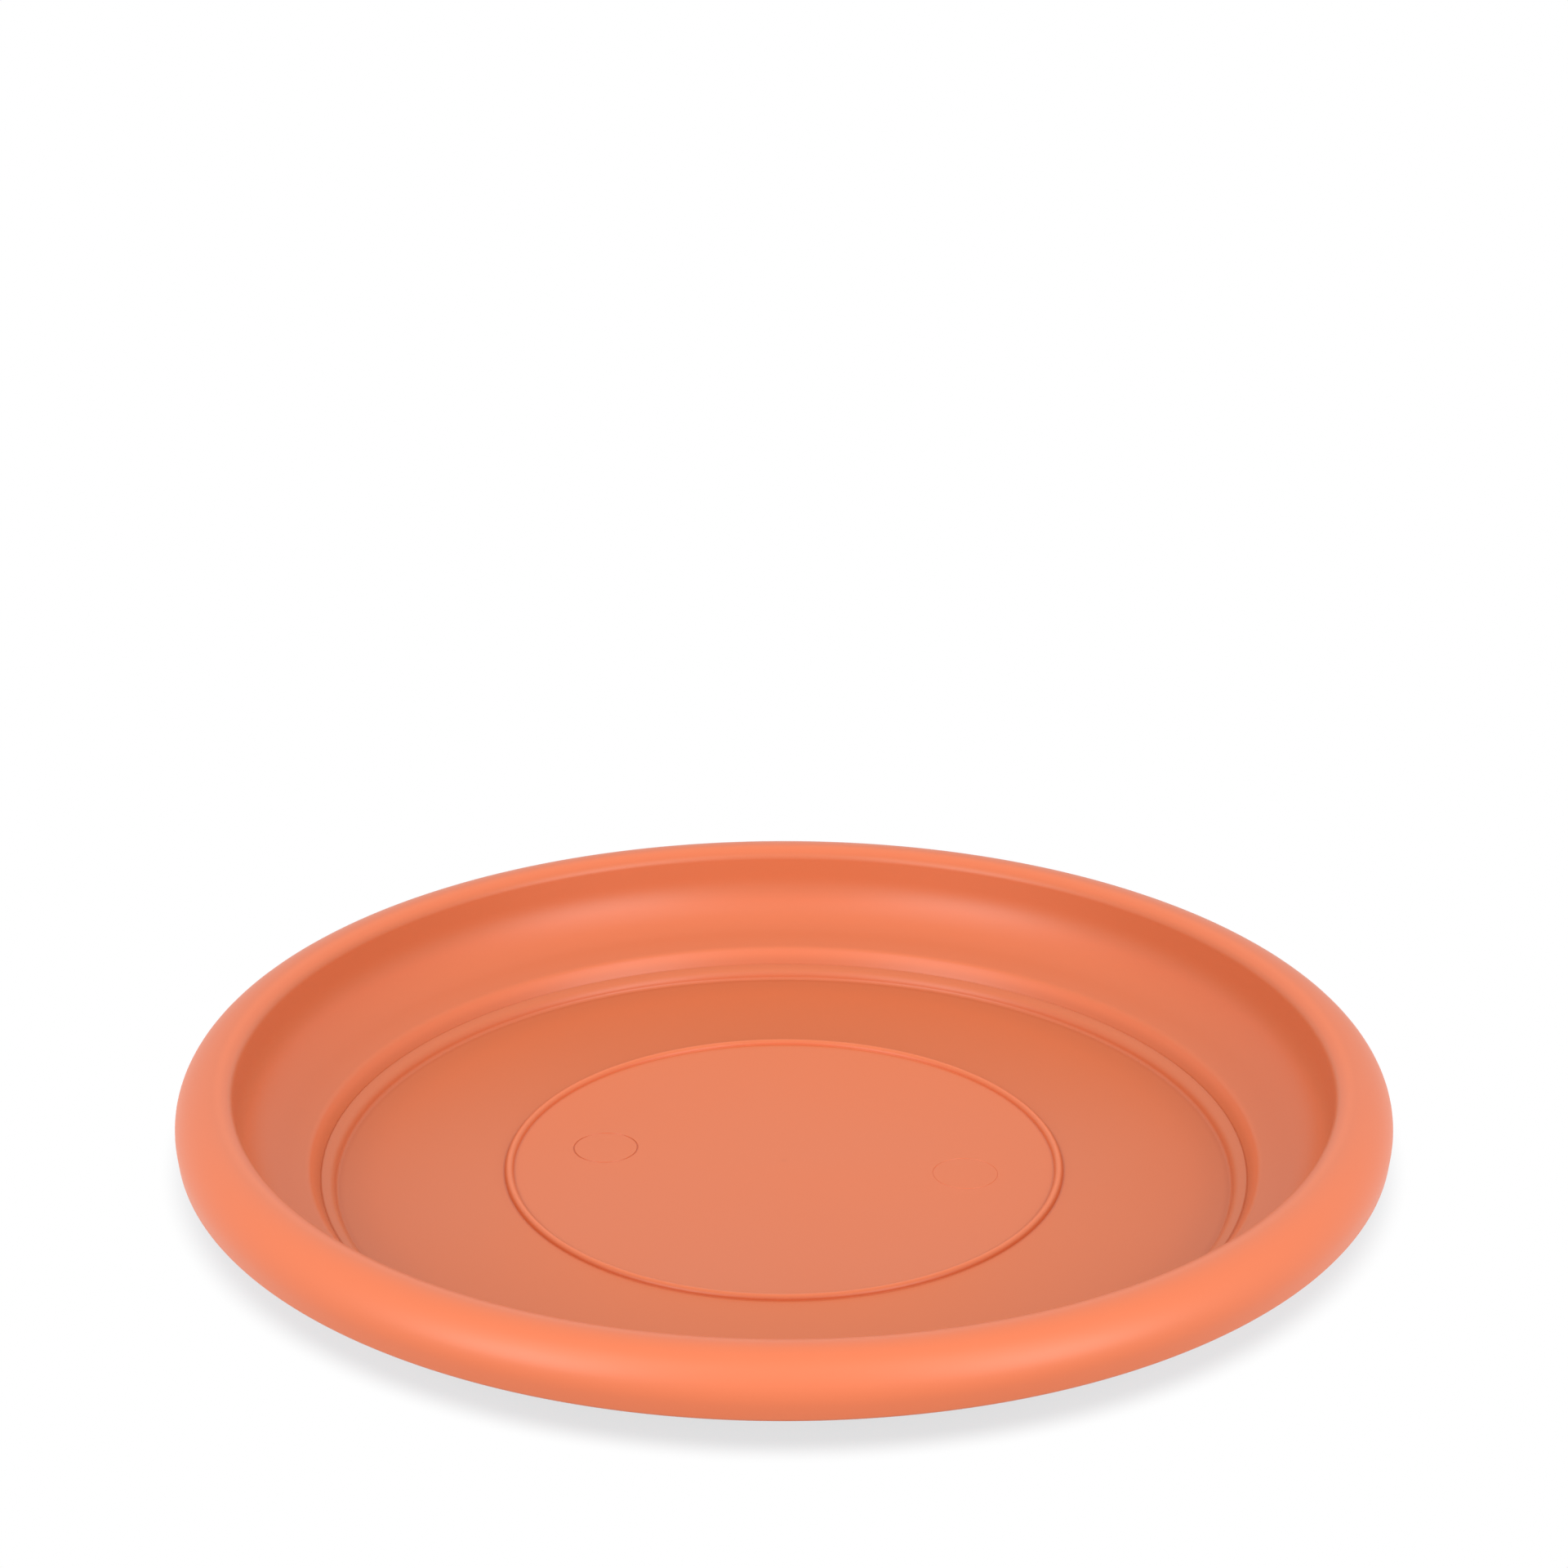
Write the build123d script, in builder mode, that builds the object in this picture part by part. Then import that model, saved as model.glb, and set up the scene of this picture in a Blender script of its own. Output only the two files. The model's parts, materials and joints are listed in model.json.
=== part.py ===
from build123d import *
from math import atan2, degrees, hypot, radians, tan
import os

# Overall sizes
outside_diameter = 300
overall_height = 33.8
wall = 2

# Rolled rim: a short skirt outside, a crown and a tight corner into the tray
skirt_length = 3.7
skirt_lean = 6
crown_outer_radius = 8.9
crown_inner_radius = 7.8
crown_inner_sweep = 33
tray_wall_lean = 4

# Shoulder of the tray: a hollow cove that runs down a gentle ledge to its lip
rim_to_lip = 31.5
cove_radius = 15.4
ledge_slope = 16.5

# Steps from the lip down to the floor: a riser, a fine groove, a narrow band and a low step
riser_run = 2.5
riser_rise = 3.8
groove_width = 0.8
groove_depth = 0.3
band_run = 3.3
band_slope = 16
step_height = 2.45
step_lean = 12
step_radius = 2.7
floor_fillet = 1

# Radius on the underside of each corner where the wall turns down
root_radius = 0.4

# Raised bead on the floor
bead_diameter = 138.5
bead_width = 2.3

# Two witness rings, left in the floor by round mould inserts
witness_diameter = 16.6
witness_spacing = 92
witness_turn = -8.8
witness_line_width = 0.4
witness_line_depth = 0.15

# Foot ring under the floor
foot_height = 1.2
foot_width = 3
foot_chamfer = 0.4

# Injection gate: a stub in a dimple, in the middle of the underside
gate_dimple_diameter = 12
gate_dimple_depth = 0.5
gate_stub_diameter = 2.4
gate_stub_length = 0.4

# Shares of the wall for the skirt's rounded edge, and of a side for the fillet at its end
edge_rounding_share = 0.45
fillet_side_share = 0.97

# Places that follow from the sizes above
rim_radius = outside_diameter / 2
crown_centre = Vector(rim_radius - crown_outer_radius, overall_height - crown_outer_radius)
crown_start = crown_centre + Vector(crown_outer_radius).rotate(Axis.Z, -skirt_lean)
skirt_edge = crown_start + Vector(0, -skirt_length).rotate(Axis.Z, -skirt_lean)
floor_top = foot_height + wall
step_top = floor_top + step_height
crease_top = step_top + band_run * tan(radians(band_slope))
lip_radius = rim_radius - rim_to_lip
crease_radius = lip_radius - riser_run
floor_radius = crease_radius - band_run
lip = Vector(lip_radius, crease_top + riser_rise)
crease = Vector(crease_radius, crease_top)
step = Vector(floor_radius, step_top)
floor_edge = Vector(floor_radius - step_height * tan(radians(step_lean)), floor_top)
floor_centre = Vector(0, floor_top)
corner_radius = wall + root_radius


def reach(radius, turn):
    """How far from a corner its fillet starts, where the path turns by that many degrees."""
    return radius * tan(radians(turn / 2))


def fitted_radius(radius, side, turn):
    """A fillet's radius, or the largest that the side beside it has room for."""
    return min(radius, radius * fillet_side_share * side / reach(radius, turn))


# Fillets of the steps
step_turn = 90 - step_lean - band_slope
floor_reach = reach(floor_fillet, 90 - step_lean)
step_side = (step - floor_edge).length - floor_reach
step_rounding = fitted_radius(step_radius, step_side, step_turn)
lip_turn = degrees(atan2(riser_rise, riser_run)) - ledge_slope
lip_rounding = fitted_radius(corner_radius, hypot(riser_run, riser_rise), lip_turn)
cove_turn = 90 - tray_wall_lean - ledge_slope

# One moulding of even wall, turned about the vertical axis
with BuildPart() as saucer:
    with BuildSketch(Plane.XZ) as section:
        # Upper skin from the skirt's free edge, over the rim and down to the centre of the floor
        with BuildLine() as skin:
            skirt = PolarLine(skirt_edge, skirt_length, 90 - skirt_lean)
            crown_outside = JernArc(skirt @ 1, skirt % 1, crown_outer_radius, 90 + skirt_lean)
            crown_inside = JernArc(
                crown_outside @ 1, crown_outside % 1, crown_inner_radius, crown_inner_sweep
            )
            corner = JernArc(
                crown_inside @ 1,
                crown_inside % 1,
                corner_radius,
                90 - tray_wall_lean - crown_inner_sweep,
            )
            ledge_line = PolarLine(lip, rim_radius, ledge_slope, mode=Mode.PRIVATE)
            tray_wall = IntersectingLine(corner @ 1, corner % 1, ledge_line)
            cove = tray_wall @ 1
            steps = Polyline(cove, lip, crease, step, floor_edge, floor_centre)
            # Each corner in turn, the cove as large as the wall and the ledge allow
            ledge_side = (cove - lip).length - reach(lip_rounding, lip_turn)
            cove_side = min(tray_wall.length, ledge_side)
            cove_rounding = fitted_radius(cove_radius, cove_side, cove_turn)
            fillet(skin.vertices().sort_by_distance(cove)[0], cove_rounding)
            fillet(skin.vertices().sort_by_distance(lip)[0], lip_rounding)
            fillet(skin.vertices().sort_by_distance(step)[0], step_rounding)
            fillet(skin.vertices().sort_by_distance(floor_edge)[0], floor_fillet)
            # The underside lies one wall below it all the way
            offset(amount=wall, side=Side.LEFT)
        make_face()
        fillet(section.vertices().sort_by_distance(skirt @ 0)[0], edge_rounding_share * wall)
        # Fine groove along the crease, cut as a notch into the band and the riser
        with BuildLine():
            groove_root = crease - Vector(0, groove_depth)
            band_side = steps.edges()[2] @ (groove_width / 2 / band_run)
            riser_side = steps.edges()[1] @ (1 - groove_width / 2 / riser_run)
            Polyline(band_side, groove_root, riser_side, close=True)
        make_face(mode=Mode.SUBTRACT)
        # Bead, half round above the floor
        with BuildLine():
            crest = CenterArc((bead_diameter / 2, floor_top), bead_width / 2, 0, 180)
            Line(crest @ 1, crest @ 0)
        make_face()
        # Foot ring, flush with the start of the floor's rounded edge
        with BuildSketch(mode=Mode.PRIVATE) as foot:
            with Locations((floor_edge.X - floor_reach, 0)):
                Rectangle(foot_width, floor_top, align=(Align.MAX, Align.MIN))
            chamfer(foot.vertices().group_by(Axis.Y)[0], foot_chamfer)
        add(foot.sketch)
        # Gate dimple and its stub
        with Locations((0, foot_height)):
            Rectangle(
                gate_dimple_diameter / 2,
                gate_dimple_depth,
                align=(Align.MIN, Align.MIN),
                mode=Mode.SUBTRACT,
            )
        with Locations((0, foot_height + gate_dimple_depth)):
            Rectangle(gate_stub_diameter / 2, gate_stub_length, align=(Align.MIN, Align.MAX))
    revolve(axis=Axis.Z)

    # Witness rings, cut as a fine line into the floor
    with BuildSketch(Plane.XY.offset(floor_top)):
        with PolarLocations(witness_spacing / 2, 2, witness_turn):
            Circle(witness_diameter / 2)
            Circle(witness_diameter / 2 - witness_line_width, mode=Mode.SUBTRACT)
    extrude(amount=-witness_line_depth, mode=Mode.SUBTRACT)

saucer.part.label = "saucer"

os.makedirs("parts", exist_ok=True)
export_step(saucer.part, "parts/saucer.step")
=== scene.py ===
import json
from math import atan2, cos, degrees, hypot, pi, radians, sin, tan

import bmesh
import bpy
from bpy.props import FloatProperty, FloatVectorProperty, PointerProperty
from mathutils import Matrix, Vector


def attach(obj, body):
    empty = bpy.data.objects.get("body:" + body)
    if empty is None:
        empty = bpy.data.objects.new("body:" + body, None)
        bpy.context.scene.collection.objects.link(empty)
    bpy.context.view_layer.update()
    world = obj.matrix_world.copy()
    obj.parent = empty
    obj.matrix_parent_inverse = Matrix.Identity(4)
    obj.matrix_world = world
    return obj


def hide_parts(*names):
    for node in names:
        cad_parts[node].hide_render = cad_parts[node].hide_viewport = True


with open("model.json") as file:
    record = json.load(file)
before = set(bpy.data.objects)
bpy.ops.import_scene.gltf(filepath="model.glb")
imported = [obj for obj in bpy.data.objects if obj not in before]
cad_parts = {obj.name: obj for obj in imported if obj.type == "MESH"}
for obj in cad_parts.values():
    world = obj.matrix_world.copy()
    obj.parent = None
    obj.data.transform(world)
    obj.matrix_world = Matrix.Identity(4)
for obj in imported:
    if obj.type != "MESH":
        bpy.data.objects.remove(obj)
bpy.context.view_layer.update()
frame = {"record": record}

bl_info = {
    "name": "Moulded plant saucer",
    "version": (1, 0, 0),
    "blender": (4, 5, 0),
    "location": "3D View > Sidebar > Saucer",
    "description": "Models a plant saucer moulded in one wall, with its plastic and a plain studio",
    "category": "Object",
}

OUTSIDE, _, HEIGHT = frame["record"]["size"]["bbox_m"]
MM = 0.001
WHITE = (1, 1, 1, 1)

# How finely the arcs and the spin are divided, and the angle up to which faces are smoothed
ARC_STEP_DEGREES = 6
SPIN_STEPS = 384
SMOOTH_DEGREES = 32

# How near a ring or a face has to lie to be picked, and points to be merged
PICK_REACH = 0.02 * MM
LEVEL_REACH = 0.05 * MM
WALL_REACH = 0.15 * MM
MERGE_REACH = 0.01 * MM

# How nearly level the normal of a face on the floor or the underside is
LEVEL_NORMAL = 0.9

# Each of the bead's two roundings takes a little less than half of it, so that they stay apart
BEAD_ROUNDING_SHARE = 0.999

CAMERA_SENSOR_MM = 36

# Fine lines of painted light round the tray, each named for its feature: painted shade in the
# corners, at the bead's feet and over the gate, and painted highlights on the lip, the band, the
# rim's shoulder and the bead's crest. Each gives the ring that it starts from, how far outside that
# ring it lies and how far it reaches to either side, in millimetres, and then its strength and its
# colour
PAINTED_LIGHT_LINES = {
    "foot of the riser": ("crease", 0.5, 1.2, 0.2, "painted_shade_colour"),
    "lip": ("crease", 2, 1.8, 0.15, "painted_highlight_colour"),
    "band": ("crease", -1.6, 1.5, 0.1, "painted_highlight_colour"),
    "low step": ("step", -1, 1.8, 0.35, "painted_shade_colour"),
    "shoulder of the rim": ("shoulder", 0, 2, 0.4, "painted_highlight_colour"),
    "inner foot of the bead": ("bead inside", 0, 0.7, 0.45, "painted_shade_colour"),
    "outer foot of the bead": ("bead outside", 0, 0.7, 0.7, "painted_shade_colour"),
    "crest of the bead": ("bead", 0, 0.7, 0.6, "painted_highlight_colour"),
    "mark over the gate": ("axis", 0, 1.6, 0.12, "painted_shade_colour"),
}


def length(name, description, millimetres):
    """A length property, in metres, with its default in millimetres."""
    return FloatProperty(
        name=name,
        description=description,
        default=millimetres * MM,
        min=0,
        precision=4,
        unit="LENGTH",
    )


def angle(name, description, turn):
    """An angle property, with its default in degrees."""
    return FloatProperty(name=name, description=description, default=radians(turn), unit="ROTATION")


def amount(name, description, default, unit="NONE"):
    """A number property that is never negative."""
    return FloatProperty(name=name, description=description, default=default, min=0, unit=unit)


def fraction(name, description, default):
    """A property from 0 to 1."""
    return FloatProperty(
        name=name, description=description, default=default, min=0, max=1, subtype="FACTOR"
    )


def colour(name, description, default):
    """A colour property."""
    return FloatVectorProperty(
        name=name, description=description, subtype="COLOR", default=default, min=0, max=1
    )


class SaucerSizes(bpy.types.PropertyGroup):
    """Sizes of the moulding, all taken on its upper skin."""

    outside_diameter: length("Outside diameter", "Across the widest part of the rim", OUTSIDE / MM)
    height: length("Height", "From the ground to the top of the rim", HEIGHT / MM)
    wall: length("Wall", "Thickness of the moulding", 2)
    edge_rounding: length("Edge rounding", "Radius of the skirt's free edge", 0.9)
    skirt_length: length("Skirt length", "Straight part of the skirt", 3.7)
    skirt_lean: angle("Skirt lean", "How far the skirt draws in towards its free edge", 6)
    crown_outer_radius: length("Crown outer radius", "Outer arc of the rim", 8.9)
    crown_inner_radius: length("Crown inner radius", "Inner arc of the rim", 7.8)
    crown_inner_sweep: angle("Crown inner sweep", "Turn of the inner arc", 33)
    corner_radius: length("Corner radius", "Where the rim turns down into the tray", 2.4)
    tray_wall_lean: angle("Tray wall lean", "Lean of the steep tray wall", 4)
    rim_to_lip: length("Rim to lip", "From the outside of the rim in to the lip", 31.5)
    cove_radius: length("Cove radius", "Hollow between the tray wall and the ledge", 15.4)
    ledge_slope: angle("Ledge slope", "Slope of the ledge towards the lip", 16.5)
    lip_radius: length("Lip rounding", "Rounding of the ledge's lip", 2.4)
    riser_run: length("Riser run", "How far the riser under the lip draws in", 2.5)
    riser_rise: length("Riser rise", "Height of the riser under the lip", 3.8)
    groove_width: length("Groove width", "Fine groove in the crease below the riser", 0.8)
    groove_depth: length("Groove depth", "Depth of the groove below the crease", 0.3)
    band_run: length("Band run", "Width of the band inside the crease", 3.3)
    band_slope: angle("Band slope", "Slope of the band inside the crease", 16)
    step_height: length("Step height", "Height of the low step round the floor", 2.45)
    step_lean: angle("Step lean", "Lean of the low step", 12)
    step_radius: length("Step rounding", "Rounding of the low step", 2.7)
    floor_fillet: length("Floor fillet", "Hollow at the foot of the low step", 1)


class SaucerDetails(bpy.types.PropertyGroup):
    """Sizes of the bead, the witness rings, the foot ring and the gate."""

    bead_diameter: length("Bead diameter", "Centre line of the raised bead on the floor", 138.5)
    bead_width: length("Bead width", "Width of the bead, which is half round", 2.3)
    bead_fillet: length("Bead fillet", "Hollow at each foot of the bead", 0.1)
    witness_diameter: length("Witness diameter", "Across each of the two witness rings", 16.6)
    witness_spacing: length("Witness spacing", "Between the centres of the witness rings", 92)
    witness_turn: angle("Witness turn", "Turn of the line through both rings", -8.8)
    witness_left_width: length("Left witness width", "Width of the left ring's fine line", 0.4)
    witness_right_width: length("Right witness width", "Width of the right ring's faint line", 0.2)
    foot_height: length("Foot height", "Height of the foot ring", 1.2)
    foot_width: length("Foot width", "Width of the foot ring", 3)
    foot_rounding: length("Foot rounding", "Rounding of the foot ring's edges", 0.4)
    gate_dimple_diameter: length("Gate dimple", "Dimple round the gate, underneath", 12)
    gate_dimple_depth: length("Gate dimple depth", "Depth of the dimple", 0.5)
    gate_stub_diameter: length("Gate stub", "Stub of the gate in its dimple", 2.4)
    gate_stub_length: length("Gate stub length", "How far the stub hangs down", 0.4)


class SaucerFinish(bpy.types.PropertyGroup):
    """Colour and finish of the plastic, with zone tones that carry part of the shade, painted shade
    and painted highlights.
    """

    # The zone colours carry part of the shade: the steep wall and the low step are painted darkest,
    # the rim lightest
    rim_colour: colour("Rim colour", "Colour of the smooth rim", (0.818, 0.196, 0.078))
    wall_colour: colour("Wall colour", "Colour of the steep tray wall", (0.657, 0.1745, 0.069))
    side_colour: colour("Side colour", "Colour of the cove and the ledge", (0.716, 0.181, 0.07))
    step_colour: colour("Step colour", "Colour of the low step", (0.673, 0.175, 0.068))
    floor_colour: colour("Floor colour", "Floor round the bead", (0.735, 0.1835, 0.067))
    disc_colour: colour("Disc colour", "Floor within the bead", (0.782, 0.189, 0.068))
    # Painted shade for the corners, the feet of the bead and the low step, and a faint dark spot
    # over the gate
    painted_shade_colour: colour("Painted shade colour", "Deep colour in the corners", (0.565, 0.113, 0.035))
    # Painted highlights for the lip, the band, the rim's shoulder and the bead's crest
    painted_highlight_colour: colour("Painted highlight colour", "Bright colour on the crests", (0.95, 0.236, 0.092))
    step_fade_radius: length("Step fade", "Where floor and step colour meet half way", 106.5)
    step_fade_width: length("Step fade width", "Width of the fade between these two", 13)
    wall_fade_radius: length("Wall fade", "Where side and wall colour meet half way", 134)
    rim_fade_radius: length("Rim fade", "Where wall and rim colour meet half way", 136.5)
    fade_width: length("Fade width", "Width of the fades beside the side, wall and rim", 2)
    # Where the painted highlight on the rim's shoulder lies
    shoulder_highlight_radius: length("Shoulder", "Radius of the bright line on the rim's shoulder", 139)
    # The left witness ring's dark line is painted shade in its groove
    witness_shade_strength: fraction("Witness shade strength", "Strength of the left ring's dark line", 0.6)
    roughness: fraction("Roughness", "Roughness of the fine matt surface", 0.4)
    cloud_roughness: fraction("Cloud roughness", "How far the clouds change the roughness", 0.1)
    grain_roughness: fraction("Grain roughness", "How far the grain changes the roughness", 0.08)
    cloud_contrast: fraction("Cloud contrast", "How far the clouds change the colour", 0.03)
    clouds: length("Clouds", "Size of the faint clouds in the plastic", 62.5)
    grain: length("Grain", "Size of the fine grain that the mould leaves", 0.35)
    grain_depth: length("Grain depth", "Depth of the fine grain", 0.012)
    grain_strength: fraction("Grain strength", "Strength of the fine grain's relief", 0.5)
    refraction: amount("Refraction", "Index of refraction of the plastic", 1.49)


class SaucerStudio(bpy.types.PropertyGroup):
    """Camera, floor and lamps."""

    camera_distance: length("Camera distance", "Camera to the saucer's axis along the floor", 697.3)
    camera_height: length("Camera height", "Camera above the floor", 364.2)
    camera_tilt: angle("Camera tilt", "Turn of the camera up from looking straight down", 69.59)
    camera_lens: amount("Lens", "Focal length on a sensor 36 mm wide", 70.76, "CAMERA")
    floor_size: length("Floor size", "Side of the square floor", 12000)
    floor_colour: colour("Floor colour", "Colour of the floor", (0.9, 0.9, 0.9))
    front_colour: colour("Front colour", "Colour of the floor in front", (0.3, 0.3, 0.3))
    front_start: length("Front start", "Before the axis, where the front's colour starts", 20)
    front_full: length("Front full", "Before the axis, where the front's colour is full", 250)
    shadow_colour: colour("Shadow colour", "What lamps add in the shadow", (0.27, 0.22, 0.225))
    shadow_glow: colour("Shadow glow", "Tone of the shadow without lamps", (0.62, 0.68, 0.69))
    shadow_offset: length("Shadow offset", "Middle of the shadow behind the saucer's axis", 27.4)
    shadow_radius: length("Shadow radius", "Where the shadow starts to fade into white", 151)
    shadow_fade: length("Shadow fade", "Width of that fade", 10)
    lamp_turn: angle("Lamp turn", "Turn of the lamps to each side of the front", 45)
    lamp_distance: length("Lamp distance", "From the saucer's middle to each lamp", 1600)
    lamp_size: length("Lamp size", "Side of each square lamp", 800)
    high_rise: angle("High rise", "Rise of the high lamps", 50)
    high_power: amount("High power", "Power of each high lamp", 3.6, "POWER")
    low_rise: angle("Low rise", "Rise of the low lamps", 25)
    low_power: amount("Low power", "Power of each low lamp", 8.4, "POWER")
    air_strength: amount("Air", "Strength of the even light all round", 0.53)


def deselect_all():
    """Leaves nothing selected, so that the next tool acts on the new piece alone."""
    if bpy.context.mode != "OBJECT":
        bpy.ops.object.mode_set(mode="OBJECT")
    bpy.ops.object.select_all(action="DESELECT")


def choose(piece):
    """Makes one piece the only selected and active one."""
    deselect_all()
    piece.select_set(True)
    bpy.context.view_layer.objects.active = piece


def edit(piece):
    """Opens one piece in edit mode."""
    choose(piece)
    bpy.ops.object.mode_set(mode="EDIT")


def end_edit():
    """Goes back to object mode."""
    bpy.ops.object.mode_set(mode="OBJECT")


def select_parts(piece, kind, test):
    """In edit mode, selects the faces or edges that pass a test, and stops if none does."""
    bpy.ops.mesh.select_mode(type=kind)
    bpy.ops.mesh.select_all(action="DESELECT")
    mesh = bmesh.from_edit_mesh(piece.data)
    mesh.normal_update()
    chosen = [part for part in (mesh.faces if kind == "FACE" else mesh.edges) if test(part)]
    if not chosen:
        raise RuntimeError(f"{piece.name} has nothing to select at this step")
    for part in chosen:
        part.select_set(True)
    mesh.select_flush_mode()
    bmesh.update_edit_mesh(piece.data)


def pick_faces(piece, test):
    """Selects the faces whose middle and normal pass a test."""
    select_parts(piece, "FACE", lambda face: test(face.calc_center_median(), face.normal))


def pick_ring(piece, radius, height, tolerance=PICK_REACH):
    """Selects the ring of edges of that radius at that height."""

    def on_ring(edge):
        return all(
            abs(hypot(v.co.x, v.co.y) - radius) < tolerance and abs(v.co.z - height) < tolerance
            for v in edge.verts
        )

    select_parts(piece, "EDGE", on_ring)


def merge_doubles():
    """In edit mode, merges points that lie on each other, over the whole piece."""
    bpy.ops.mesh.select_all(action="SELECT")
    bpy.ops.mesh.remove_doubles(threshold=MERGE_REACH)


def apply_modifier(piece, kind, **settings):
    """Adds a modifier with its settings and applies it."""
    choose(piece)
    modifier = piece.modifiers.new(kind.lower(), kind)
    for name, value in settings.items():
        setattr(modifier, name, value)
    bpy.ops.object.modifier_apply(modifier=modifier.name)


class SectionPen:
    """Draws the section in the plane of X and Z, from the skirt's free edge inwards."""

    def __init__(self, radius, height, heading):
        self.place = Vector((radius, 0, height))
        self.heading = heading

    def ahead(self):
        """Unit step in the pen's heading."""
        return Vector((cos(self.heading), 0, sin(self.heading)))

    def line(self, distance):
        """Extrudes the end of the section straight on."""
        step = self.ahead() * distance
        bpy.ops.mesh.extrude_vertices_move(TRANSFORM_OT_translate={"value": step})
        self.place += step

    def arc(self, radius, turn):
        """Extrudes the end of the section round an arc; a positive turn bends to the left."""
        steps = max(2, round(abs(degrees(turn)) / ARC_STEP_DEGREES))
        side = radius if turn > 0 else -radius
        centre = self.place + side * Vector((-sin(self.heading), 0, cos(self.heading)))
        for step in range(1, steps + 1):
            heading = self.heading + turn * step / steps
            point = centre - side * Vector((-sin(heading), 0, cos(heading)))
            bpy.ops.mesh.extrude_vertices_move(TRANSFORM_OT_translate={"value": point - self.place})
            self.place = point
        self.heading += turn


def reach(radius, turn):
    """How far from a corner its fillet starts, where the path turns by that much."""
    return radius * tan(turn / 2)


def free_edge(sizes):
    """Radius and height of the outer edge at the skirt's lower end."""
    crown_radius = sizes.outside_diameter / 2 - sizes.crown_outer_radius
    crown_base = sizes.height - sizes.crown_outer_radius
    lean = sizes.skirt_lean
    return (
        crown_radius + sizes.crown_outer_radius * cos(lean) - sizes.skirt_length * sin(lean),
        crown_base - sizes.crown_outer_radius * sin(lean) - sizes.skirt_length * cos(lean),
    )


def floor_level(sizes, details):
    """Height of the floor's upper face."""
    return details.foot_height + sizes.wall


def crease_place(sizes, details):
    """Radius and height of the crease between the riser and the band."""
    radius = sizes.outside_diameter / 2 - sizes.rim_to_lip - sizes.riser_run
    step_top = floor_level(sizes, details) + sizes.step_height
    return radius, step_top + sizes.band_run * tan(sizes.band_slope)


def foot_rings(sizes, details):
    """Inner and outer radius of the foot ring, which ends under the edge of the flat floor."""
    step_radius = crease_place(sizes, details)[0] - sizes.band_run
    step_run = sizes.step_height * tan(sizes.step_lean)
    outer = step_radius - step_run - reach(sizes.floor_fillet, pi / 2 - sizes.step_lean)
    return outer - details.foot_width, outer


def bead_rings(details):
    """Inner and outer radius of the bead's foot."""
    return (
        (details.bead_diameter - details.bead_width) / 2,
        (details.bead_diameter + details.bead_width) / 2,
    )


def witness_centre(details, side):
    """Centre of the left (-1) or the right (1) witness ring, seen from above."""
    out = side * details.witness_spacing / 2
    return out * cos(details.witness_turn), out * sin(details.witness_turn), 0


def witness_radius(details):
    """Radius of the middle of a witness ring's line."""
    return (details.witness_diameter - details.witness_left_width) / 2


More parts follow.
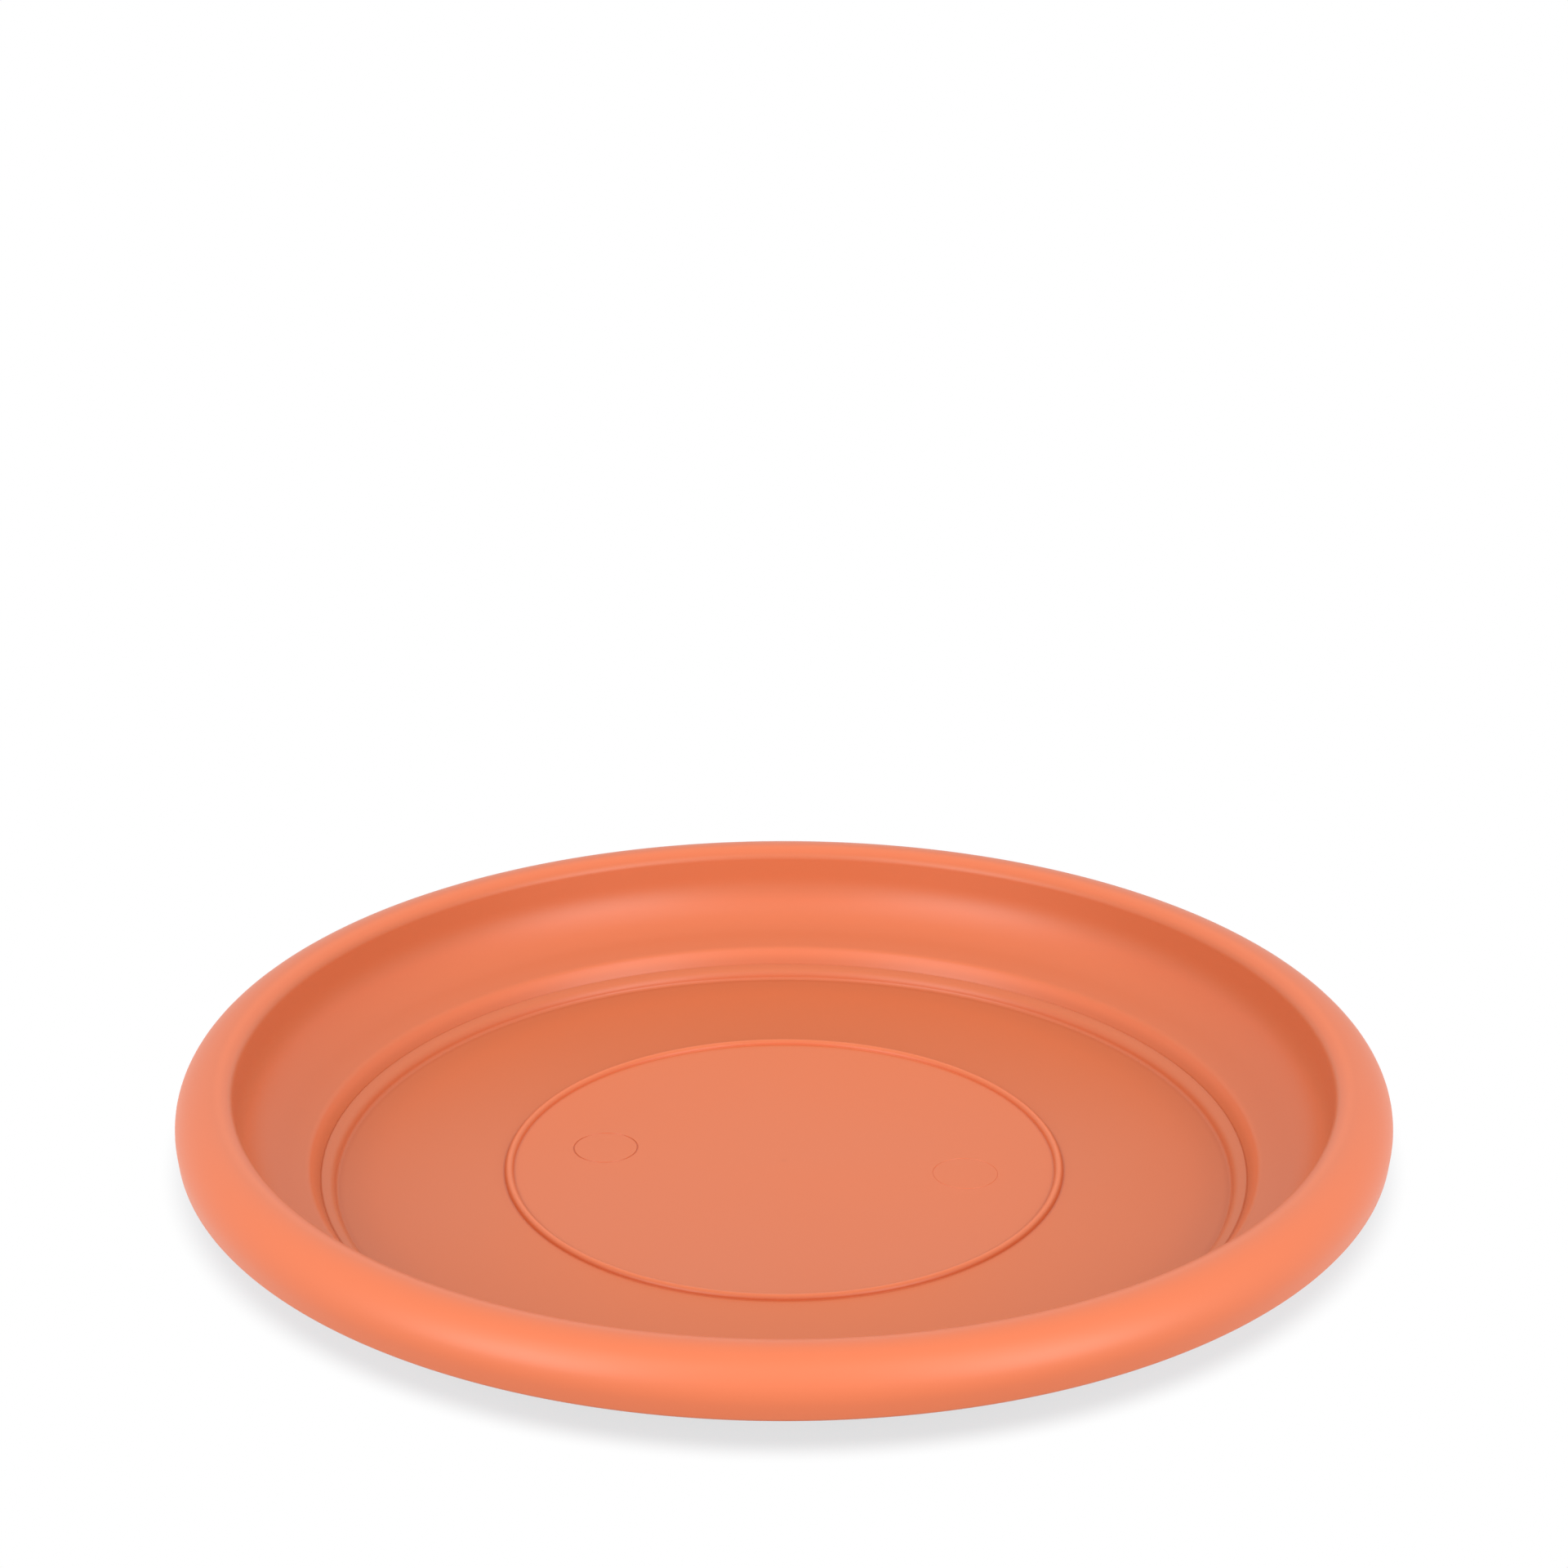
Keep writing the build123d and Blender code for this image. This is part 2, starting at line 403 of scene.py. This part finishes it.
def draw_skin(sizes, details):
    """Draws the upper skin's section as a chain of edges and spins it into an open shell."""
    start = free_edge(sizes)
    lip_radius = sizes.outside_diameter / 2 - sizes.rim_to_lip
    lip_top = crease_place(sizes, details)[1] + sizes.riser_rise
    riser_slope = atan2(sizes.riser_rise, sizes.riser_run)
    lip_turn = riser_slope - sizes.ledge_slope
    step_turn = pi / 2 - sizes.step_lean - sizes.band_slope
    floor_turn = pi / 2 - sizes.step_lean
    groove_half = sizes.groove_width / 2

    deselect_all()
    bpy.ops.mesh.primitive_plane_add(size=sizes.wall, location=(0, 0, 0))
    piece = bpy.context.object
    piece.name = piece.data.name = "saucer_moulding"
    edit(piece)
    bpy.ops.mesh.select_all(action="SELECT")
    bpy.ops.mesh.merge(type="CENTER")
    bpy.ops.mesh.select_mode(type="VERT")
    bpy.ops.transform.translate(value=(start[0], 0, start[1]))

    pen = SectionPen(*start, pi / 2 - sizes.skirt_lean)
    pen.line(sizes.skirt_length)
    pen.arc(sizes.crown_outer_radius, pi / 2 + sizes.skirt_lean)
    pen.arc(sizes.crown_inner_radius, sizes.crown_inner_sweep)
    pen.arc(sizes.corner_radius, pi / 2 - sizes.tray_wall_lean - sizes.crown_inner_sweep)

    # The steep wall and the ledge meet at the cove's corner
    wall_ahead = pen.ahead()
    ledge_ahead = Vector((-cos(sizes.ledge_slope), 0, -sin(sizes.ledge_slope)))
    lip = Vector((lip_radius, 0, lip_top))
    across = lip - pen.place
    crossing = wall_ahead.x * ledge_ahead.z - wall_ahead.z * ledge_ahead.x
    wall_side = (across.x * ledge_ahead.z - across.z * ledge_ahead.x) / crossing
    cove = pen.place + wall_side * wall_ahead
    cove_turn = sizes.tray_wall_lean + sizes.ledge_slope - pi / 2
    cove_reach = reach(sizes.cove_radius, -cove_turn)
    lip_reach = reach(sizes.lip_radius, lip_turn)
    step_reach = reach(sizes.step_radius, step_turn)
    floor_reach = reach(sizes.floor_fillet, floor_turn)

    pen.line(wall_side - cove_reach)
    pen.arc(sizes.cove_radius, cove_turn)
    pen.line((cove - lip).length - cove_reach - lip_reach)
    pen.arc(sizes.lip_radius, lip_turn)
    pen.line((sizes.riser_run - groove_half) / cos(riser_slope) - lip_reach)
    pen.line(groove_half / cos(riser_slope))
    pen.heading -= riser_slope - sizes.band_slope
    pen.line(groove_half / cos(sizes.band_slope))
    pen.line((sizes.band_run - groove_half) / cos(sizes.band_slope) - step_reach)
    pen.arc(sizes.step_radius, step_turn)
    pen.line(sizes.step_height / cos(sizes.step_lean) - step_reach - floor_reach)
    pen.arc(sizes.floor_fillet, -floor_turn)

    # Rings on the floor for what is raised on it or hangs under it
    bead_inside, bead_outside = bead_rings(details)
    for ring in (foot_rings(sizes, details)[0], bead_outside, bead_inside):
        pen.line(pen.place.x - ring)

    bpy.ops.mesh.select_all(action="SELECT")
    bpy.ops.mesh.spin(steps=SPIN_STEPS, angle=2 * pi, center=(0, 0, 0), axis=(0, 0, 1))
    merge_doubles()
    pick_ring(piece, bead_inside, floor_level(sizes, details))
    bpy.ops.mesh.edge_face_add()
    bpy.ops.mesh.select_all(action="SELECT")
    bpy.ops.mesh.normals_make_consistent(inside=False)
    end_edit()

    # The wall grows away from the side that the floor's normal shows, so that has to be up
    floor = max(piece.data.polygons, key=lambda face: face.area)
    if floor.normal.z < 0:
        edit(piece)
        bpy.ops.mesh.select_all(action="SELECT")
        bpy.ops.mesh.flip_normals()
        end_edit()
    return piece


def level_band(inner, outer, height, up):
    """A test for the level faces between two radii at a height that look up or down."""

    def test(middle, normal):
        return (
            inner < hypot(middle.x, middle.y) < outer
            and abs(middle.z - height) < LEVEL_REACH
            and (normal.z if up else -normal.z) > LEVEL_NORMAL
        )

    return test


def round_free_edge(piece, sizes):
    """Rounds both edges of the skirt's lower end."""
    lean = sizes.skirt_lean
    outer = Vector(free_edge(sizes))
    inner = outer - sizes.wall * Vector((cos(lean), -sin(lean)))
    edit(piece)
    for radius, height in (outer, inner):
        pick_ring(piece, radius, height, WALL_REACH)
        bpy.ops.mesh.bevel(offset=sizes.edge_rounding, segments=5, profile=0.5, affect="EDGES")
    end_edit()


def sink_groove(piece, sizes, details):
    """Sinks the crease itself into a fine groove between its two neighbour rings."""
    edit(piece)
    pick_ring(piece, *crease_place(sizes, details))
    bpy.ops.transform.translate(value=(0, 0, -sizes.groove_depth))
    end_edit()


def raise_bead(piece, sizes, details):
    """Extrudes the bead from the floor, rounds it over and hollows its feet."""
    floor_top = floor_level(sizes, details)
    rings = bead_rings(details)
    half = details.bead_width / 2
    edit(piece)
    pick_faces(piece, level_band(*rings, floor_top, up=True))
    bpy.ops.mesh.extrude_region_move(TRANSFORM_OT_translate={"value": (0, 0, half)})
    for ring in rings:
        pick_ring(piece, ring, floor_top + half)
        bpy.ops.mesh.bevel(
            offset=half * BEAD_ROUNDING_SHARE, segments=6, profile=0.5, affect="EDGES"
        )
    merge_doubles()
    for ring in rings:
        pick_ring(piece, ring, floor_top)
        bpy.ops.mesh.bevel(offset=details.bead_fillet, segments=3, profile=0.5, affect="EDGES")
    end_edit()


def drop_foot(piece, sizes, details):
    """Extrudes the foot ring down from the underside and rounds its edges."""
    rings = foot_rings(sizes, details)
    edit(piece)
    pick_faces(piece, level_band(*rings, details.foot_height, up=False))
    bpy.ops.mesh.extrude_region_move(
        TRANSFORM_OT_translate={"value": (0, 0, -details.foot_height)}
    )
    # The underside's rings lie a little off the skin's own where the wall turns
    for ring in rings:
        pick_ring(piece, ring, 0, WALL_REACH)
        bpy.ops.mesh.bevel(offset=details.foot_rounding, segments=4, profile=0.5, affect="EDGES")
    end_edit()


def mark_gate(piece, details):
    """Insets the dimple and the stub of the gate in the middle of the underside."""
    face_radius, _ = bead_rings(details)
    dimple = details.gate_dimple_diameter / 2
    stub = details.gate_stub_diameter / 2

    def middle_below(middle, normal):
        return hypot(middle.x, middle.y) < PICK_REACH and normal.z < 0

    edit(piece)
    pick_faces(piece, middle_below)
    bpy.ops.mesh.inset(thickness=face_radius - dimple, depth=0)
    bpy.ops.mesh.extrude_region_move(
        TRANSFORM_OT_translate={"value": (0, 0, details.gate_dimple_depth)}
    )
    bpy.ops.mesh.inset(thickness=dimple - stub, depth=0)
    bpy.ops.mesh.extrude_region_move(
        TRANSFORM_OT_translate={"value": (0, 0, -details.gate_stub_length)}
    )
    end_edit()


def cut_witness_rings(piece, sizes, details):
    """Cuts the two fine witness rings into the floor with thin ring tools."""
    for side, width in ((-1, details.witness_left_width), (1, details.witness_right_width)):
        x, y, _ = witness_centre(details, side)
        deselect_all()
        bpy.ops.mesh.primitive_torus_add(
            location=(x, y, floor_level(sizes, details)),
            major_radius=witness_radius(details),
            minor_radius=width / 2,
            major_segments=96,
            minor_segments=6,
        )
        tool = bpy.context.object
        apply_modifier(piece, "BOOLEAN", object=tool, operation="DIFFERENCE", solver="EXACT")
        bpy.data.objects.remove(tool)


class Sums:
    """A number socket of a material: arithmetic on it adds Math nodes."""

    def __init__(self, sheet, socket):
        self.sheet = sheet
        self.socket = socket

    def work(self, operation, first, second):
        """Adds one Math node and wraps its output."""
        node = self.sheet.node("ShaderNodeMath", {"operation": operation}, {0: first, 1: second})
        return Sums(self.sheet, node.outputs[0])

    def __add__(self, other):
        return self.work("ADD", self, other)

    def __radd__(self, other):
        return self.work("ADD", other, self)

    def __sub__(self, other):
        return self.work("SUBTRACT", self, other)

    def __rsub__(self, other):
        return self.work("SUBTRACT", other, self)

    def __mul__(self, other):
        return self.work("MULTIPLY", self, other)

    def __rmul__(self, other):
        return self.work("MULTIPLY", other, self)

    def gap(self, place):
        """Distance from a place, to either side."""
        return self.work("ABSOLUTE", self - place, 0)


class NodeSheet:
    """The empty node tree of a new material or world."""

    def __init__(self, owner):
        self.owner = owner
        self.owner.use_nodes = True
        self.tree = self.owner.node_tree
        self.tree.nodes.clear()

    def node(self, kind, settings=None, values=None):
        """Adds a node with its settings, then the values or links of its sockets."""
        made = self.tree.nodes.new(kind)
        for name, value in (settings or {}).items():
            setattr(made, name, value)
        for name, value in (values or {}).items():
            socket = made.inputs[name]
            if isinstance(value, Sums):
                value = value.socket
            if isinstance(value, bpy.types.NodeSocket):
                self.tree.links.new(value, socket)
            else:
                socket.default_value = value
        return made

    def number(self, kind, output, settings=None, values=None):
        """Adds a node and wraps one of its outputs for sums."""
        return Sums(self, self.node(kind, settings, values).outputs[output])

    def vector(self, operation, values):
        """Adds a Vector Math node and gives the vector that it works out."""
        node = self.node("ShaderNodeVectorMath", {"operation": operation}, values)
        return node.outputs["Vector"]

    def measure(self, operation, values):
        """Adds a Vector Math node and wraps the number that it works out."""
        return self.number("ShaderNodeVectorMath", "Value", {"operation": operation}, values)

    def shader(self, kind, values):
        """Adds a shader and gives its output."""
        return self.node(kind, values=values).outputs[0]

    def mix_shader(self, factor, first, second):
        """A shader that goes from the first to the second with the factor."""
        return self.shader("ShaderNodeMixShader", {0: factor, 1: first, 2: second})

    def background_rays(self):
        """1 for the rays that meet the background as such: seen, in a gloss or through glass."""
        path = self.node("ShaderNodeLightPath").outputs
        seen, mirrored, let_through = (
            Sums(self, path[f"Is {kind} Ray"]) for kind in ("Camera", "Glossy", "Transmission")
        )
        return seen + mirrored + let_through

    def ramp(self, value, start, end):
        """A smooth rise from 0 to 1 while the value goes from start to end."""
        return self.number(
            "ShaderNodeMapRange",
            "Result",
            {"interpolation_type": "SMOOTHSTEP"},
            {"Value": value, "From Min": start, "From Max": end},
        )

    def ring(self, radius, middle, reach_out):
        """1 at one radius, with a smooth fall to 0 at its reach inwards and outwards."""
        return self.ramp(radius.gap(middle), reach_out, 0)

    def noise(self, place, size, detail, roughness):
        """Even noise with features of one size."""
        return self.number(
            "ShaderNodeTexNoise",
            "Fac",
            values={"Vector": place, "Scale": 1 / size, "Detail": detail, "Roughness": roughness},
        )

    def blend(self, factor, first, second):
        """A colour that goes from the first to the second, each a colour or a socket."""
        node = self.node("ShaderNodeMix", {"data_type": "RGBA"}, {"Factor": factor})
        for socket, tone in ((node.inputs[6], first), (node.inputs[7], second)):
            if isinstance(tone, bpy.types.NodeSocket):
                self.tree.links.new(tone, socket)
            else:
                socket.default_value = (*tone, 1)
        return node.outputs[2]


def plastic_material(finish, sizes, details):
    """Terracotta plastic: fine matt grain, faint flow clouds, zone tones that carry part of the
    shade, and lines of painted shade and painted highlight.
    """
    sheet = NodeSheet(bpy.data.materials.new("terracotta_plastic"))
    place = sheet.node("ShaderNodeTexCoord").outputs["Object"]
    level = sheet.vector("MULTIPLY", {0: place, 1: (1, 1, 0)})
    radius = sheet.measure("LENGTH", {0: level})
    grain = sheet.noise(place, finish.grain, detail=2.0, roughness=0.55)
    clouds = sheet.noise(place, finish.clouds, detail=3.0, roughness=0.5)
    bead = details.bead_diameter / 2
    bead_inside, bead_outside = bead_rings(details)
    crease, _ = crease_place(sizes, details)

    # Each zone of the tray has its own tone, from the disc in the middle out to the rim; the tones
    # carry part of the shade, painted darkest on the steep wall and the low step
    tone = finish.disc_colour
    for middle, width, next_tone in (
        (bead, 2 * details.bead_width, finish.floor_colour),
        (finish.step_fade_radius, finish.step_fade_width, finish.step_colour),
        (crease + finish.fade_width / 2, finish.fade_width, finish.side_colour),
        (finish.wall_fade_radius, finish.fade_width, finish.wall_colour),
        (finish.rim_fade_radius, finish.fade_width, finish.rim_colour),
    ):
        fade = sheet.ramp(radius, middle - width / 2, middle + width / 2)
        tone = sheet.blend(fade, tone, next_tone)

    # Painted shade in the corners and painted highlights on the crests, and a fine line of painted
    # shade in the left witness ring
    rings = {
        "axis": 0,
        "bead inside": bead_inside,
        "bead": bead,
        "bead outside": bead_outside,
        "step": crease - sizes.band_run,
        "crease": crease,
        "shoulder": finish.shoulder_highlight_radius,
    }
    for ring, out, reach_out, strength, painted_light_colour in PAINTED_LIGHT_LINES.values():
        line = sheet.ring(radius, rings[ring] + out * MM, reach_out * MM)
        tone = sheet.blend(strength * line, tone, getattr(finish, painted_light_colour))
    from_left = sheet.measure("DISTANCE", {0: level, 1: witness_centre(details, -1)})
    line = sheet.ring(from_left, witness_radius(details), details.witness_left_width)
    tone = sheet.blend(finish.witness_shade_strength * line, tone, finish.painted_shade_colour)

    cloud_swing = clouds - 0.5
    grain_swing = grain - 0.5
    bump = sheet.node(
        "ShaderNodeBump",
        values={
            "Strength": finish.grain_strength,
            "Distance": finish.grain_depth,
            "Height": grain,
        },
    )
    plastic = sheet.shader(
        "ShaderNodeBsdfPrincipled",
        {
            "Base Color": sheet.vector(
                "SCALE", {0: tone, "Scale": 1 + finish.cloud_contrast * cloud_swing}
            ),
            "Roughness": finish.roughness
            + finish.cloud_roughness * cloud_swing
            + finish.grain_roughness * grain_swing,
            "IOR": finish.refraction,
            "Normal": bump.outputs["Normal"],
        },
    )
    sheet.node("ShaderNodeOutputMaterial", values={"Surface": plastic})
    return sheet.owner


def dress(piece, material):
    """Gives a piece its only material."""
    piece.data.materials.clear()
    piece.data.materials.append(material)


class SAUCER_OT_moulding(bpy.types.Operator):
    """Model the saucer as one moulding of even wall and give it its plastic"""

    bl_idname = "saucer.moulding"
    bl_label = "Model the moulding"

    def execute(self, context):
        sizes = context.scene.saucer_sizes
        details = context.scene.saucer_details
        piece = draw_skin(sizes, details)
        apply_modifier(
            piece,
            "SOLIDIFY",
            thickness=sizes.wall,
            offset=-1,
            use_even_offset=True,
            use_rim=True,
        )
        round_free_edge(piece, sizes)
        sink_groove(piece, sizes, details)
        raise_bead(piece, sizes, details)
        drop_foot(piece, sizes, details)
        mark_gate(piece, details)
        cut_witness_rings(piece, sizes, details)
        choose(piece)
        bpy.ops.object.shade_smooth_by_angle(angle=radians(SMOOTH_DEGREES))
        dress(piece, plastic_material(context.scene.saucer_finish, sizes, details))
        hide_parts("saucer")
        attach(piece, "root")
        return {"FINISHED"}


def floor_material(studio):
    """Pale floor that is plain white as a background, apart from the object's shadow."""
    sheet = NodeSheet(bpy.data.materials.new("studio_floor"))
    place = sheet.node("ShaderNodeTexCoord").outputs["Object"]
    depth = sheet.number("ShaderNodeSeparateXYZ", "Y", values={"Vector": place})
    front = sheet.shader("ShaderNodeBsdfDiffuse", {"Color": (*studio.front_colour, 1)})
    behind = sheet.shader("ShaderNodeBsdfDiffuse", {"Color": (*studio.floor_colour, 1)})
    lit = sheet.mix_shader(
        sheet.ramp(depth, -studio.front_full, -studio.front_start), front, behind
    )
    shaded = sheet.shader("ShaderNodeBsdfDiffuse", {"Color": (*studio.shadow_colour, 1)})
    glow = sheet.shader("ShaderNodeEmission", {"Color": (*studio.shadow_glow, 1)})
    shadow = sheet.shader("ShaderNodeAddShader", {0: shaded, 1: glow})
    white = sheet.shader("ShaderNodeEmission", {"Color": WHITE})
    distance = sheet.measure("DISTANCE", {0: place, 1: (0, studio.shadow_offset, 0)})
    shadow_end = studio.shadow_radius + studio.shadow_fade
    seen = sheet.mix_shader(
        sheet.ramp(distance, studio.shadow_radius, shadow_end), shadow, white
    )
    surface = sheet.mix_shader(sheet.background_rays(), lit, seen)
    sheet.node("ShaderNodeOutputMaterial", values={"Surface": surface})
    return sheet.owner


def studio_air(strength):
    """A world of even light that is plain white as a background."""
    sheet = NodeSheet(bpy.data.worlds.new("studio_air"))
    air = sheet.shader("ShaderNodeBackground", {"Color": WHITE, "Strength": strength})
    white = sheet.shader("ShaderNodeBackground", {"Color": WHITE, "Strength": 1.0})
    surface = sheet.mix_shader(sheet.background_rays(), air, white)
    sheet.node("ShaderNodeOutputWorld", values={"Surface": surface})
    return sheet.owner


def lamp(name, studio, across, rise, power):
    """A soft square lamp that faces the saucer, turned round it and raised by two angles."""
    light = bpy.data.lights.new(name, "AREA")
    light.shape = "SQUARE"
    light.size = studio.lamp_size
    light.energy = power
    made = bpy.data.objects.new(name, light)
    made.location = studio.lamp_distance * Vector(
        (sin(across) * cos(rise), -cos(across) * cos(rise), sin(rise))
    )
    made.rotation_euler = (pi / 2 - rise, 0, across)
    bpy.context.scene.collection.objects.link(made)


class SAUCER_OT_stage(bpy.types.Operator):
    """Set out the floor, the lamps and the camera"""

    bl_idname = "saucer.stage"
    bl_label = "Set the stage"

    def execute(self, context):
        studio = context.scene.saucer_studio
        deselect_all()
        bpy.ops.mesh.primitive_plane_add(size=studio.floor_size, location=(0, 0, 0))
        floor = context.object
        floor.name = "studio_floor"
        dress(floor, floor_material(studio))

        for side, across in (("left", -studio.lamp_turn), ("right", studio.lamp_turn)):
            lamp(f"lamp_{side}_high", studio, across, studio.high_rise, studio.high_power)
            lamp(f"lamp_{side}_low", studio, across, studio.low_rise, studio.low_power)
        context.scene.world = studio_air(studio.air_strength)

        view = bpy.data.cameras.new("camera")
        view.lens = studio.camera_lens
        view.sensor_width = CAMERA_SENSOR_MM
        camera = bpy.data.objects.new("camera", view)
        camera.location = (0, -studio.camera_distance, studio.camera_height)
        camera.rotation_euler = (studio.camera_tilt, 0, 0)
        context.scene.collection.objects.link(camera)
        context.scene.camera = camera
        context.scene.view_settings.view_transform = "Standard"
        return {"FINISHED"}


# The settings that the scene holds, each under its name
SETTINGS = {
    "saucer_sizes": SaucerSizes,
    "saucer_details": SaucerDetails,
    "saucer_finish": SaucerFinish,
    "saucer_studio": SaucerStudio,
}


class SAUCER_PT_sidebar(bpy.types.Panel):
    """Lists the steps and sizes of the saucer"""

    bl_label = "Plant saucer"
    bl_idname = "SAUCER_PT_sidebar"
    bl_space_type = "VIEW_3D"
    bl_region_type = "UI"
    bl_category = "Saucer"

    def draw(self, context):
        for group in SETTINGS:
            box = self.layout.box()
            settings = getattr(context.scene, group)
            for name in settings.__annotations__:
                box.prop(settings, name)
        self.layout.operator(SAUCER_OT_moulding.bl_idname)
        self.layout.operator(SAUCER_OT_stage.bl_idname)


CLASSES = (*SETTINGS.values(), SAUCER_OT_moulding, SAUCER_OT_stage, SAUCER_PT_sidebar)


def register():
    """Registers the classes and gives the scene its settings."""
    for made in CLASSES:
        bpy.utils.register_class(made)
    for name, group in SETTINGS.items():
        setattr(bpy.types.Scene, name, PointerProperty(type=group))


def unregister():
    """Takes the settings and the classes away again."""
    for name in SETTINGS:
        delattr(bpy.types.Scene, name)
    for made in reversed(CLASSES):
        bpy.utils.unregister_class(made)


def main():
    """Builds the saucer and its stage."""
    register()
    bpy.ops.saucer.moulding()
    bpy.ops.saucer.stage()


if __name__ == "__main__":
    main()
